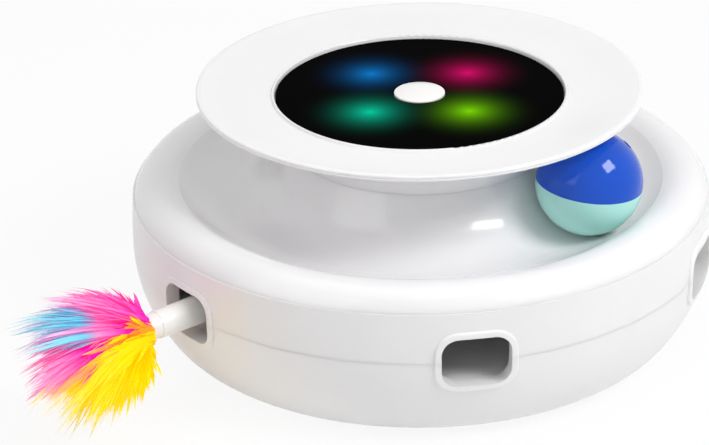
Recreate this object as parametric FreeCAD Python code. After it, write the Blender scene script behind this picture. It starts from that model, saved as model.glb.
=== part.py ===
"""Automatic cat toy: a round housing with six windows, a feather wand that swings out of them,
a ball in an open track, and a raised disc with a lamp panel and a power button.

Millimetres. +Z is up and the origin is on the floor, on the axis of the round body.
A bearing of 0 degrees is straight to the front, along -Y, and grows towards +X.
"""
import FreeCAD, Part
import math
import os
from FreeCAD import Vector

# Housing
BODY_R = 115.0          # widest radius, at the seam between the two shells
FLOOR_Z = 0.8           # underside of the housing, held up by the rubber feet
WALL = 2.4              # wall of the moulded shells
HEEL_IN = 21.5          # how far inside the widest radius the flat underside turns up
BELLY_IN = 8.1          # how far inside it the tight heel curve meets the long belly curve
BELLY_RISE = 10.0       # height of that point over the underside
SHOULDER_IN = 0.9       # how far the side shell draws in at its top
SIDE_H = 19.6           # height of the side shell
LEDGE_W = 14.5          # width of the side shell's top ledge

# Windows
WINDOWS = 6
WINDOW_W = 26.0
WINDOW_H = 19.8
WINDOW_CORNER = 6.5
LIP_W = 2.4             # width of the raised lip round a window
LIP_OUT = 1.0           # how far the lip stands proud of the wall
LIP_IN = 5.0            # how deep the lip's collar reaches behind the wall's face
LIP_ROUND = 0.7

# Track dish and its ball
RIM_STEP = 0.5          # step at the shoulder between the shell and the dish
RIM_W = 12.2            # from the widest radius in to the crest of the rim
RIM_H = 7.5             # height of the crest over the shoulder
RIM_TILT = 26.6         # slope of the rim's inner face, in degrees
CREST_IN = 7.1          # from the crest in to where the rim's inner face meets the trough
TRACK_DROP = 2.8        # how far the lowest line of the trough lies under the shoulder
BALL_R = 20.5
BALL_WALL = 1.8
BALL_GAP = 0.3          # space under the ball
BALL_BEARING = 47.5
BALL_TILT = 6.5
SOUND_HOLE_R = 2.1
SOUND_HOLE_POLAR = 39.0
BELL_R = 6.0
TROUGH_OUT_ROOM = 7.5   # how much wider than the ball the trough's outer curve is
TROUGH_IN_ROOM = 2.2    # the same for its inner curve
TROUGH_OUT_ARC = 44.7   # how many degrees of each curve the trough has
TROUGH_IN_ARC = 64.6
HUB_H = 20.9            # height of the hub's top over the trough
HUB_TAPER = 4.2
HUB_BORE = 12.0

# Raised disc
DISC_IN = 27.7          # from the housing's widest radius in to the disc's edge
DISC_ROOM = 3.9         # from the top of the ball up to the disc's top
DISC_EDGE = 2.2         # thickness of the disc's edge
DISC_WALL = 2.2
FLARE_OUT = 9.2         # how far the bowl flares out from the hub
FLARE_W = 2.3           # from that joint in to the lip round the panel
PANEL_DROP = 4.1        # how far the panel lies under the disc's top
PANEL_T = 2.2
PANEL_GAP = 0.3         # clearance round the panel
PANEL_LIP_W = 1.5
PANEL_LIP_UP = 0.9
PANEL_SEAT = 10.0       # width of the seat under the panel
SEAT_T = 1.6

# Button
BUTTON_R = 10.0
BUTTON_GAP = 0.6
BUTTON_DOME = 1.2
BUTTON_T = 2.2
BUTTON_TRAVEL = 0.6

# Lamp board
BOARD_T = 1.6
BOARD_IN = 9.1          # how far the lamp board's edge stays inside the hub's radius
BOARD_UP = 8.9          # height of the board over the hub
LAMP_R = 27.0           # radius of the circle that the lamps stand on
LAMP_BEARING = 125.0
LAMP_SIZE = 5.0
LAMP_H = 3.0

# Drive
PAD_H = 1.2             # height of the pads on the floor that carry the inner pieces
MOTOR_BEARING = 90.0
MOTOR_L = 46.0
MOTOR_W = 22.0
MOTOR_H = 15.0
MOTOR_NOSE = 9.0        # from the output shaft to the near end of the gearbox
NOSE_H = 1.2
SHAFT_R = 1.5
CAN_R = 7.0
CAN_L = 20.0
GEAR_GAP = 1.6          # space between the gearbox and the wheel over it

# Gears
MODULE = 1.2
WHEEL_TEETH = 40
PINION_TEETH = 10
GEAR_T = 5.0
BACKLASH = 0.24

# Post and turntable
POST_R = 8.0
POST_BORE = 5.0
COLLAR_R = 12.5
COLLAR_DROP = 8.2       # how far the collar round the post stays under the turntable
WASHER_T = 1.0
RUN = 0.05              # running clearance of a turning fit
HUB_BOSS_R = 15.0
TABLE_R = 70.0
TABLE_T = 2.2
PIVOT_IN = 10.0         # how far inside the turntable's edge the wand is hinged

# Wand
WAND_BEARING = -60.0    # the window that the wand stands out of
WAND_LIFT = 9.0         # height of the wand's axis over the turntable
PIN_R = 2.0
ARM_BOSS_R = 7.0
TUBE_ROOT_R = 6.3
TUBE_TIP_R = 5.3
TUBE_WALL = 1.2
TUBE_OUT = 14.0         # how far the tube reaches out of the housing
CAP_L = 5.5
CAP_R = 4.9
PLUME_L = 54.0
PLUME_RISE = 30.0       # half height of the plume where it is fullest
PLUME_SPREAD = 24.0     # half width there

# Battery and control board
CELL_R = 9.2
CELL_L = 65.0
CELL_BEARING = -90.0
CELL_AT = 58.0
CELL_UP = 1.2           # thickness of the cradle's bed under the cell
CONTROL_BEARING = 180.0
CONTROL_L = 34.0
CONTROL_W = 26.0
CONTROL_IN = 16.0       # from the housing's widest radius in to the board's outer end
CONTROL_UP = 10.8       # height of the board over the housing's floor
CONTROL_SCREW_IN = 4.0
SOCKET_W = 9.0
SOCKET_H = 3.3
SOCKET_L = 7.4
SOCKET_GAP = 0.3

# Feet and screws
FEET = 4
FOOT_R = 7.0
FOOT_IN = 13.5          # from the turn of the underside in to the middle of a foot
FOOT_POCKET = 1.2
CASE_SCREW_IN = 19.0    # from the housing's widest radius in to the case screws
CASE_BOSS_R = 3.9
CASE_SEAT = 5.4         # thickness over the heads of the case screws
SCREW_R = 1.3
SCREW_GAP = 0.2
HEAD_R = 2.6
HEAD_H = 1.8
HEAD_GAP = 0.3
DISH_SCREW_IN = 9.7     # from the shoulder in to the screws of the dish
DISH_BOSS_R = 3.2
DISH_SCREW_L = 6.5
PILOT_ROOM = 0.3        # how much deeper a screw's pilot hole is than its tip
HUB_SCREWS = 4
HUB_SCREW_IN = 11.3     # from the hub's radius in to the screws of the bowl
HUB_BOSS = 3.0
PLATE_SCREW_IN = 5.3    # from the hub's radius in to the screws of the plate
PLATE_SEAT_UP = 2.6     # how deep the plate's screws sit inside the bowl's floor
PLATE_BOSS_R = 3.4
BOARD_SCREW_IN = 5.2    # from the lamp board's edge in to its screws

UP = Vector(0, 0, 1)
AXIS = Vector(0, 0, 0)

# Heights, each counted up from what carries it
FLOOR_IN = FLOOR_Z + WALL
PAD_Z = FLOOR_IN + PAD_H
TABLE_Z = PAD_Z + MOTOR_H + NOSE_H + GEAR_GAP + GEAR_T
SEAM_Z = TABLE_Z + TABLE_T + WAND_LIFT
COLLAR_Z = TABLE_Z - COLLAR_DROP
HEEL_RISE_Z = FLOOR_Z + BELLY_RISE
SHOULDER_Z = SEAM_Z + SIDE_H
CREST_Z = SHOULDER_Z + RIM_H
TRACK_Z = SHOULDER_Z - TRACK_DROP
BALL_Z = TRACK_Z + BALL_GAP + BALL_R
HUB_Z = TRACK_Z + HUB_H
DISC_TOP_Z = BALL_Z + BALL_R + DISC_ROOM
DISC_LOW_Z = DISC_TOP_Z - DISC_EDGE
PANEL_Z = DISC_TOP_Z - PANEL_DROP
POCKET_Z = PANEL_Z - PANEL_T
SEAT_LOW_Z = POCKET_Z - SEAT_T
LAMP_BOARD_Z = HUB_Z + BOARD_UP
LAMP_TOP_Z = LAMP_BOARD_Z + BOARD_T
CONTROL_Z = FLOOR_IN + CONTROL_UP

# Radii, each counted in from the housing's widest radius
HEEL_R = BODY_R - HEEL_IN
HEEL_RISE_R = BODY_R - BELLY_IN
SHOULDER_R = BODY_R - SHOULDER_IN
LEDGE_R = SHOULDER_R - LEDGE_W
CREST_R = BODY_R - RIM_W
CREASE_R = CREST_R - CREST_IN
TROUGH_OUT_R = BALL_R + TROUGH_OUT_ROOM
TROUGH_IN_R = BALL_R + TROUGH_IN_ROOM
TRACK_R = CREASE_R - TROUGH_OUT_R * math.sin(math.radians(TROUGH_OUT_ARC))
HUB_FOOT_R = TRACK_R - TROUGH_IN_R * math.sin(math.radians(TROUGH_IN_ARC))
HUB_R = HUB_FOOT_R - HUB_TAPER
DISC_R = BODY_R - DISC_IN
FLARE_R = HUB_R + FLARE_OUT
PANEL_R = FLARE_R - FLARE_W - PANEL_LIP_W - PANEL_GAP
LAMP_BOARD_R = HUB_R - BOARD_IN
PIVOT_R = TABLE_R - PIVOT_IN
TUBE_END = BODY_R + TUBE_OUT
CONTROL_END = BODY_R - CONTROL_IN
FOOT_AT = HEEL_R - FOOT_IN
CASE_SCREW_AT = BODY_R - CASE_SCREW_IN
DISH_SCREW_AT = SHOULDER_R - DISH_SCREW_IN
HUB_SCREW_AT = HUB_R - HUB_SCREW_IN
PLATE_SCREW_AT = HUB_R - PLATE_SCREW_IN
BOARD_SCREW_AT = LAMP_BOARD_R - BOARD_SCREW_IN
BELLY_R = (BELLY_IN ** 2 + (SEAM_Z - HEEL_RISE_Z) ** 2) / (2 * BELLY_IN)
SIDE_R = (SHOULDER_IN ** 2 + SIDE_H ** 2) / (2 * SHOULDER_IN)
RIM_FOOT_R = SHOULDER_R - RIM_STEP
RIM_R = ((RIM_FOOT_R - CREST_R) ** 2 + RIM_H ** 2) / (2 * RIM_H)
GEAR_CENTRES = MODULE * (WHEEL_TEETH + PINION_TEETH) / 2


def p(r, z):
    """A point of a section, at radius r and height z."""
    return Vector(r, 0, z)


def section(*steps):
    """A closed face in the XZ plane. A step is an end point, or a (middle, end) pair for an arc."""
    edges = []
    here = steps[0]
    for step in list(steps[1:]) + [steps[0]]:
        if isinstance(step, tuple):
            edges.append(Part.Arc(here, step[0], step[1]).toShape())
            here = step[1]
        else:
            if (step - here).Length > 1e-6:
                edges.append(Part.LineSegment(here, step).toShape())
            here = step
    return Part.Face(Part.Wire(edges))


def turned(*steps):
    """A solid of revolution about the body's axis."""
    return section(*steps).revolve(AXIS, UP, 360)


def at_bearing(shape, degrees):
    """Turn a piece that was made facing the front to another bearing."""
    copy = shape.copy()
    copy.rotate(AXIS, UP, degrees)
    return copy


def ring_of(shape, count, first=0.0):
    """Copies of a piece, evenly spaced round the axis."""
    return [at_bearing(shape, first + i * 360.0 / count) for i in range(count)]


def cylinder(r, z0, z1, x=0.0, y=0.0):
    return Part.makeCylinder(r, z1 - z0, Vector(x, y, z0))


def tube(r_out, r_in, z0, z1, x=0.0, y=0.0):
    return cylinder(r_out, z0, z1, x, y).cut(cylinder(r_in, z0 - 1, z1 + 1, x, y))


def block(x0, x1, y0, y1, z0, z1, corner=0.0):
    """A block between limits, with its upright edges rounded when a corner radius is given."""
    shape = Part.makeBox(x1 - x0, y1 - y0, z1 - z0, Vector(x0, y0, z0))
    if corner:
        upright = [e for e in shape.Edges if abs(e.tangentAt(e.FirstParameter).z) > 0.99]
        shape = shape.makeFillet(corner, upright)
    return shape


def one(shape):
    """The single solid of a boolean result."""
    return shape.removeSplitter().Solids[0]


def front_slot(width, height, corner, y0, y1):
    """A rounded block that lies along the front bearing, centred on the windows' height."""
    shape = Part.makeBox(width, y1 - y0, height, Vector(-width / 2, y0, SEAM_Z - height / 2))
    along = [e for e in shape.Edges if abs(e.tangentAt(e.FirstParameter).y) > 0.99]
    return shape.makeFillet(corner, along)


def screw(z_seat, length, r=SCREW_R, head_r=HEAD_R, head_h=HEAD_H):
    """A screw that points up, with its head under z_seat and a cross recess in the head."""
    head = cylinder(head_r, z_seat - head_h, z_seat)
    shank = cylinder(r, z_seat, z_seat + length)
    arm = head_r * 0.6
    recess = block(-arm, arm, -0.4, 0.4, z_seat - head_h - 1, z_seat - head_h * 0.5)
    cross = recess.copy()
    cross.rotate(AXIS, UP, 90)
    return head.fuse(shank).cut(recess).cut(cross)


def placed(shape, radius, bearing):
    """Move a piece out along the front bearing and turn it to its own."""
    copy = shape.copy()
    copy.translate(Vector(0, -radius, 0))
    return at_bearing(copy, bearing)


def belly_r(z, offset=0.0):
    """Radius of the housing's outer face at a height, moved outwards by offset."""
    if z < SEAM_Z:
        return BODY_R - BELLY_R + math.sqrt((BELLY_R + offset) ** 2 - (SEAM_Z - z) ** 2)
    return BODY_R - SIDE_R + math.sqrt((SIDE_R + offset) ** 2 - (z - SEAM_Z) ** 2)


def belly_band(z0, z1, out, inn):
    """A ring that follows the housing's wall from z0 to z1, between two offsets of its face."""
    mid = (z0 + z1) / 2
    return turned(
        p(belly_r(z0, out), z0),
        (p(belly_r(mid, out), mid), p(belly_r(z1, out), z1)),
        p(belly_r(z1, -inn), z1),
        (p(belly_r(mid, -inn), mid), p(belly_r(z0, -inn), z0)),
    )


def belly_solid(inset):
    """The full round body up to the shoulder, drawn in by inset, to trim what stands inside it."""
    z_low = HEEL_RISE_Z
    mid = (z_low + SEAM_Z) / 2
    high = (SEAM_Z + SHOULDER_Z) / 2
    heel = heel_middle()
    return turned(
        p(0, FLOOR_Z + inset),
        p(HEEL_R - inset * 0.2, FLOOR_Z + inset),
        (p(heel.x - inset * 0.6, heel.z + inset * 0.8), p(belly_r(z_low, -inset), z_low)),
        (p(belly_r(mid, -inset), mid), p(belly_r(SEAM_Z, -inset), SEAM_Z)),
        (p(belly_r(high, -inset), high), p(belly_r(SHOULDER_Z, -inset), SHOULDER_Z)),
        p(0, SHOULDER_Z),
    )


def heel_middle():
    """A point half way along the heel's tight curve, bulged out from its chord."""
    run = HEEL_RISE_R - HEEL_R
    rise = HEEL_RISE_Z - FLOOR_Z
    return p(HEEL_R + run * 0.58, FLOOR_Z + rise * 0.34)


def window_lip(z0, z1):
    """The part of a window's raised lip and collar that lies between two heights."""
    block_out = front_slot(
        WINDOW_W + 2 * LIP_W, WINDOW_H + 2 * LIP_W, WINDOW_CORNER + LIP_W, -BODY_R - 9, -BODY_R + 18
    )
    half = block_out.common(belly_band(z0, z1, LIP_OUT, LIP_IN))
    outer = []
    for edge in half.Edges:
        box = edge.BoundBox
        r = math.hypot((box.XMin + box.XMax) / 2, (box.YMin + box.YMax) / 2)
        middle_z = (box.ZMin + box.ZMax) / 2
        far = min(math.hypot(v.X, v.Y) - belly_r(v.Z, 0) for v in edge.Vertexes)
        if far > LIP_OUT / 2 and abs(middle_z - SEAM_Z) > 0.01 and r > BODY_R / 2:
            outer.append(edge)
    return half.makeFillet(LIP_ROUND, outer)


def window_cuts():
    """The six openings, through wall and lip."""
    opening = front_slot(WINDOW_W, WINDOW_H, WINDOW_CORNER, -BODY_R - 10, -BODY_R + 24)
    return ring_of(opening, WINDOWS)


def case_boss(z0, z1):
    """An upright boss for a case screw, tied to the wall behind it by a rib."""
    boss = cylinder(CASE_BOSS_R, z0, z1, 0, -CASE_SCREW_AT)
    rib = block(-1.2, 1.2, -BODY_R, -CASE_SCREW_AT, z0, z1)
    return boss.fuse(rib)


def bottom_shell():
    """The bowl under the seam, with the lower half of each window, bosses, pads and a post collar."""
    mid = (HEEL_RISE_Z + SEAM_Z) / 2
    heel = heel_middle()
    heel_in = p(heel.x - WALL * 0.6, heel.z + WALL * 0.8)
    shape = turned(
        p(0, FLOOR_Z),
        p(HEEL_R, FLOOR_Z),
        (heel, p(HEEL_RISE_R, HEEL_RISE_Z)),
        (p(belly_r(mid), mid), p(BODY_R, SEAM_Z)),
        p(BODY_R - WALL, SEAM_Z),
        (p(belly_r(mid, -WALL), mid), p(belly_r(HEEL_RISE_Z, -WALL), HEEL_RISE_Z)),
        (heel_in, p(HEEL_R - WALL * 0.2, FLOOR_IN)),
        p(0, FLOOR_IN),
    )
    lip = window_lip(SEAM_Z - WINDOW_H / 2 - LIP_W - 1, SEAM_Z)
    inside = belly_solid(0.3)
    boss = case_boss(FLOOR_Z, SEAM_Z).common(inside)
    extras = ring_of(lip, WINDOWS) + ring_of(boss, WINDOWS, 180.0 / WINDOWS)
    extras.append(cylinder(COLLAR_R, FLOOR_Z, COLLAR_Z))
    extras += inner_pads()
    shape = shape.fuse(extras)
    well = cylinder(HEAD_R + HEAD_GAP, FLOOR_Z - 2, SEAM_Z - CASE_SEAT, 0, -CASE_SCREW_AT)
    bore = cylinder(SCREW_R + SCREW_GAP, 0, SEAM_Z + 1, 0, -CASE_SCREW_AT)
    cuts = window_cuts()
    cuts += ring_of(well.fuse(bore), WINDOWS, 180.0 / WINDOWS)
    cuts.append(cylinder(POST_R, FLOOR_IN, COLLAR_Z + 1))
    cuts += ring_of(cylinder(FOOT_R, -1, FLOOR_Z + FOOT_POCKET, 0, -FOOT_AT), FEET, 45.0)
    socket = block(
        -SOCKET_W / 2 - SOCKET_GAP,
        SOCKET_W / 2 + SOCKET_GAP,
        -BODY_R - 5,
        -CONTROL_END + 1,
        CONTROL_Z + BOARD_T - SOCKET_GAP,
        CONTROL_Z + BOARD_T + SOCKET_H + SOCKET_GAP,
    )
    cuts.append(at_bearing(socket, CONTROL_BEARING))
    return one(shape.cut(cuts))


def inner_pads():
    """Raised pads and bosses on the floor for the gearbox, the battery cradle and the board."""
    pads = []
    start = GEAR_CENTRES - MOTOR_NOSE
    for x in (start + 3, start + MOTOR_L - 7):
        pad = block(-MOTOR_W / 2, MOTOR_W / 2, -x - 4, -x, FLOOR_Z, PAD_Z)
        pads.append(at_bearing(pad, MOTOR_BEARING))
    for side in (-1, 1):
        x = side * CELL_L / 3
        pad = block(x - 3, x + 3, -CELL_AT - CELL_R, -CELL_AT + CELL_R, FLOOR_Z, PAD_Z)
        pads.append(at_bearing(pad, CELL_BEARING))
    for side in (-1, 1):
        x = side * (CONTROL_W / 2 - CONTROL_SCREW_IN)
        y = CONTROL_END - CONTROL_L + CONTROL_SCREW_IN
        boss = cylinder(3.0, FLOOR_Z, CONTROL_Z, x, -y)
        boss = boss.cut(cylinder(SCREW_R, CONTROL_Z - 6, CONTROL_Z + 1, x, -y))
        pads.append(at_bearing(boss, CONTROL_BEARING))
    return pads


def side_shell():
    """The ring above the seam, with the upper half of each window and a ledge for the dish."""
    mid = (SEAM_Z + SHOULDER_Z) / 2
    shape = turned(
        p(BODY_R, SEAM_Z),
        (p(belly_r(mid), mid), p(SHOULDER_R, SHOULDER_Z)),
        p(LEDGE_R, SHOULDER_Z),
        p(LEDGE_R, SHOULDER_Z - WALL),
        p(belly_r(SHOULDER_Z - WALL, -WALL), SHOULDER_Z - WALL),
        (p(belly_r(mid, -WALL), mid), p(BODY_R - WALL, SEAM_Z)),
    )
    lip = window_lip(SEAM_Z, SEAM_Z + WINDOW_H / 2 + LIP_W + 1)
    boss = case_boss(SEAM_Z, SHOULDER_Z - WALL / 2).common(belly_solid(0.3))
    extras = ring_of(lip, WINDOWS) + ring_of(boss, WINDOWS, 180.0 / WINDOWS)
    shape = shape.fuse(extras)
    pilot = cylinder(SCREW_R, SEAM_Z - 1, SEAM_Z + 13, 0, -CASE_SCREW_AT)
    hole = cylinder(SCREW_R + SCREW_GAP, SHOULDER_Z - WALL - 1, SHOULDER_Z + 1, 0, -DISH_SCREW_AT)
    cuts = window_cuts()
    cuts += ring_of(pilot, WINDOWS, 180.0 / WINDOWS)
    cuts += ring_of(hole, WINDOWS)
    return one(shape.cut(cuts))


def trough_point(r, below=0.0):
    """A point of the trough's section, or of its underside when below is the wall."""
    if r >= TRACK_R:
        radius = TROUGH_OUT_R
    else:
        radius = TROUGH_IN_R
    z = TRACK_Z + radius - math.sqrt((radius + below) ** 2 - (r - TRACK_R) ** 2)
    return p(r, z)


def rim_point(tilt, below=0.0):
    """The point of the rim's roll that slopes inwards by tilt degrees, or the one below it in the wall."""
    radius = RIM_R - below
    slope = math.radians(tilt)
    return p(CREST_R - radius * math.sin(slope), CREST_Z - RIM_R + radius * math.cos(slope))


def rim_foot(below=0.0):
    """Where the rim's roll, or a line below it in the wall, meets the height of the shoulder."""
    drop = RIM_R - RIM_H
    return p(CREST_R + math.sqrt((RIM_R - below) ** 2 - drop ** 2), SHOULDER_Z)


def track_dish():
    """The top of the housing: rolled rim, ball track and the hub that carries the disc, in one moulding."""
    crease = trough_point(CREASE_R)
    foot = trough_point(HUB_FOOT_R)
    under_foot = trough_point(HUB_FOOT_R - WALL * 0.9, WALL)
    under_crease = trough_point(CREASE_R + WALL * 0.55, WALL)
    shape = turned(
        rim_foot(),
        (rim_point(-30), rim_point(RIM_TILT)),
        crease,
        (trough_point((CREASE_R + TRACK_R) / 2), trough_point(TRACK_R)),
        (trough_point((HUB_FOOT_R + TRACK_R) / 2), foot),
        p(HUB_R, HUB_Z),
        p(HUB_BORE, HUB_Z),
        p(HUB_BORE, HUB_Z - WALL),
        p(HUB_R - WALL, HUB_Z - WALL),
        under_foot,
        (trough_point((HUB_FOOT_R + TRACK_R) / 2, WALL), trough_point(TRACK_R, WALL)),
        (trough_point((CREASE_R + TRACK_R) / 2, WALL), under_crease),
        rim_point(RIM_TILT, WALL),
        (rim_point(-20, WALL), rim_foot(WALL)),
    )
    boss = cylinder(DISH_BOSS_R, SHOULDER_Z, CREST_Z, 0, -DISH_SCREW_AT)
    in_wall = WALL / 2
    inner_end = rim_point(RIM_TILT, in_wall)
    under_rim = turned(
        rim_foot(in_wall),
        (rim_point(-20, in_wall), inner_end),
        p(inner_end.x, SHOULDER_Z),
    )
    bosses = ring_of(boss.common(under_rim), WINDOWS)
    shape = shape.fuse(bosses)
    pilot_top = SHOULDER_Z - WALL + DISH_SCREW_L + PILOT_ROOM
    pilot = cylinder(SCREW_R, SHOULDER_Z - 1, pilot_top, 0, -DISH_SCREW_AT)
    hub_hole = cylinder(SCREW_R + SCREW_GAP, HUB_Z - WALL - 1, HUB_Z + 1, 0, -HUB_SCREW_AT)
    return one(shape.cut(ring_of(pilot, WINDOWS) + ring_of(hub_hole, HUB_SCREWS)))


def disc_bowl():
    """The flared bowl under the raised disc, standing on the hub of the dish."""
    neck_top = p(HUB_R + 1.6, HUB_Z + 8.5)
    middle = p(HUB_R + 4.1, HUB_Z + 13.6)
    t = DISC_WALL
    shape = turned(
        p(HUB_R, HUB_Z),
        neck_top,
        (middle, p(FLARE_R, SEAT_LOW_Z)),
        p(FLARE_R - t * 1.3, SEAT_LOW_Z),
        (middle + p(-t * 0.9, t * 0.6), neck_top + p(-t, t * 0.25)),
        p(HUB_R - t, HUB_Z + t),
        p(HUB_BORE, HUB_Z + t),
        p(HUB_BORE, HUB_Z),
    )
    post = cylinder(HUB_BOSS, HUB_Z, LAMP_BOARD_Z, 0, -BOARD_SCREW_AT)
    hub_boss = cylinder(HUB_BOSS, HUB_Z, LAMP_BOARD_Z - 0.5, 0, -HUB_SCREW_AT)
    seat_boss = cylinder(PLATE_BOSS_R, HUB_Z, plate_boss_z(), 0, -PLATE_SCREW_AT)
    inside = turned(p(0, HUB_Z), p(HUB_R, HUB_Z), neck_top, p(neck_top.x, SEAT_LOW_Z), p(0, SEAT_LOW_Z))
    bosses = ring_of(post, HUB_SCREWS, 45.0) + ring_of(hub_boss, HUB_SCREWS)
    bosses += ring_of(seat_boss.common(inside), HUB_SCREWS, 45.0)
    shape = shape.fuse(bosses)
    pilot = cylinder(SCREW_R, LAMP_BOARD_Z - 6, LAMP_BOARD_Z + 1, 0, -BOARD_SCREW_AT)
    hub_pilot = cylinder(SCREW_R, HUB_Z - 1, HUB_Z + 7, 0, -HUB_SCREW_AT)
    hole = cylinder(SCREW_R + SCREW_GAP, HUB_Z - 1, DISC_LOW_Z, 0, -PLATE_SCREW_AT)
    well = cylinder(HEAD_R, HUB_Z - 1, HUB_Z + PLATE_SEAT_UP, 0, -PLATE_SCREW_AT)
    cuts = ring_of(pilot, HUB_SCREWS, 45.0) + ring_of(hub_pilot, HUB_SCREWS)
    cuts += ring_of(hole.fuse(well), HUB_SCREWS, 45.0)
    return one(shape.cut(cuts))


def plate_boss_z():
    """Height at which the plate's bosses stand on those of the bowl."""
    return HUB_Z + PLATE_SEAT_UP + 3.0


def disc_plate():
    """The disc: a thin dished plate with a raised lip, and a seat and pocket for the lamp panel."""
    pocket_r = PANEL_R + PANEL_GAP
    lip_out = pocket_r + PANEL_LIP_W
    face_z = PANEL_Z + 0.4
    face_mid = p((DISC_R + lip_out) / 2, face_z + (DISC_TOP_Z - face_z) * 0.40)
    under_mid = p((DISC_R + FLARE_R) / 2 - 2, face_mid.z - 1.5)
    seat_r = PANEL_R - PANEL_SEAT
    lip_top = face_z + PANEL_LIP_UP
    shape = turned(
        p(DISC_R - 0.4, DISC_LOW_Z),
        p(DISC_R, DISC_LOW_Z + 0.4),
        p(DISC_R, DISC_LOW_Z + 0.9),
        p(DISC_R - 0.35, DISC_LOW_Z + 1.05),
        p(DISC_R, DISC_LOW_Z + 1.2),
        p(DISC_R, DISC_TOP_Z - 0.6),
        (p(DISC_R - 0.18, DISC_TOP_Z - 0.18), p(DISC_R - 0.6, DISC_TOP_Z)),
        p(DISC_R - 1.8, DISC_TOP_Z),
        (face_mid, p(lip_out, face_z)),
        p(lip_out - 0.2, lip_top - 0.4),
        (p(lip_out - PANEL_LIP_W / 2, lip_top), p(pocket_r + 0.2, lip_top - 0.4)),
        p(pocket_r, PANEL_Z),
        p(pocket_r, POCKET_Z),
        p(seat_r, POCKET_Z),
        p(seat_r, SEAT_LOW_Z),
        p(FLARE_R, SEAT_LOW_Z),
        (under_mid, p(DISC_R - 3.0, DISC_LOW_Z)),
    )
    boss = cylinder(PLATE_BOSS_R, plate_boss_z(), POCKET_Z, 0, -PLATE_SCREW_AT)
    shape = shape.fuse(ring_of(boss, HUB_SCREWS, 45.0))
    pilot = cylinder(SCREW_R, plate_boss_z() - 1, SEAT_LOW_Z - 1, 0, -PLATE_SCREW_AT)
    return one(shape.cut(ring_of(pilot, HUB_SCREWS, 45.0)))


def light_panel():
    """The smoked panel over the lamps, with the button's hole in its middle."""
    hole = BUTTON_R + BUTTON_GAP
    return turned(
        p(hole, POCKET_Z),
        p(PANEL_R, POCKET_Z),
        p(PANEL_R, PANEL_Z - 0.5),
        (p(PANEL_R - 0.15, PANEL_Z - 0.15), p(PANEL_R - 0.5, PANEL_Z)),
        p(hole + 0.3, PANEL_Z),
        p(hole, PANEL_Z - 0.3),
    )


def lamp_board():
    """The round board under the panel, held on four posts."""
    shape = cylinder(LAMP_BOARD_R, LAMP_BOARD_Z, LAMP_TOP_Z)
    holes = ring_of(cylinder(SCREW_R + SCREW_GAP, 0, DISC_TOP_Z, 0, -BOARD_SCREW_AT), HUB_SCREWS, 45.0)
    return one(shape.cut(holes))


def lamp(number):
    """One coloured lamp: a square base with a round lens."""
    half = LAMP_SIZE / 2
    base = block(-half, half, -half, half, LAMP_TOP_Z, LAMP_TOP_Z + 1.2)
    lens = cylinder(half * 0.9, LAMP_TOP_Z + 1.2, LAMP_TOP_Z + LAMP_H)
    lens = lens.makeFillet(half * 0.4, [lens.Edges[0]])
    return placed(base.fuse(lens), LAMP_R, LAMP_BEARING + 90.0 * number)


def switch_base():
    """The housing of the tact switch under the button, with a well for its plunger."""
    top = LAMP_TOP_Z + 4.2
    shape = block(-3, 3, -3, 3, LAMP_TOP_Z, top, 0.5)
    return shape.cut(cylinder(1.7 + RUN, LAMP_TOP_Z + 1.5, top + 1))


def switch_plunger():
    """The plunger of the tact switch, which the button's stem pushes down."""
    foot = LAMP_TOP_Z + 1.5 + BUTTON_TRAVEL + 0.3
    return cylinder(1.7, foot, LAMP_TOP_Z + 5.2)


def power_button():
    """The domed button cap, with a skirt and a stem that stands on the switch's plunger."""
    edge_z = PANEL_Z + 0.3
    under = PANEL_Z - BUTTON_T
    stem_r = 2.4
    brim = BUTTON_R - 0.5
    dome_r = (brim ** 2 + BUTTON_DOME ** 2) / (2 * BUTTON_DOME)
    half_way = edge_z + BUTTON_DOME - dome_r + math.sqrt(dome_r ** 2 - (brim / 2) ** 2)
    return turned(
        p(0, LAMP_TOP_Z + 5.2),
        p(stem_r, LAMP_TOP_Z + 5.2),
        p(stem_r, under + 1.0),
        p(BUTTON_R - 1.2, under + 1.0),
        p(BUTTON_R - 1.2, under - 0.6),
        p(BUTTON_R, under - 0.6),
        p(BUTTON_R, edge_z - 0.4),
        (p(BUTTON_R - 0.15, edge_z - 0.12), p(brim, edge_z)),
        (p(brim / 2, half_way), p(0, edge_z + BUTTON_DOME)),
    )


def center_post():
    """The hollow post that the turntable runs on and the lamp wires pass through."""
    return tube(POST_R, POST_BORE, FLOOR_IN, HUB_Z - WALL)


def thrust_washer():
    return tube(COLLAR_R - 0.5, POST_R + 0.1, COLLAR_Z, COLLAR_Z + WASHER_T)


def post_clip():
    """The split ring that keeps the turntable down on its post."""
    z = table_hub_top() + 0.2
    shape = tube(POST_R + 3.5, POST_R, z, z + 1.2)
    return shape.cut(block(-2, 2, 0, POST_R + 5, z - 1, z + 3))


def table_hub_top():
    return TABLE_Z + TABLE_T + 4.0


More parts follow.
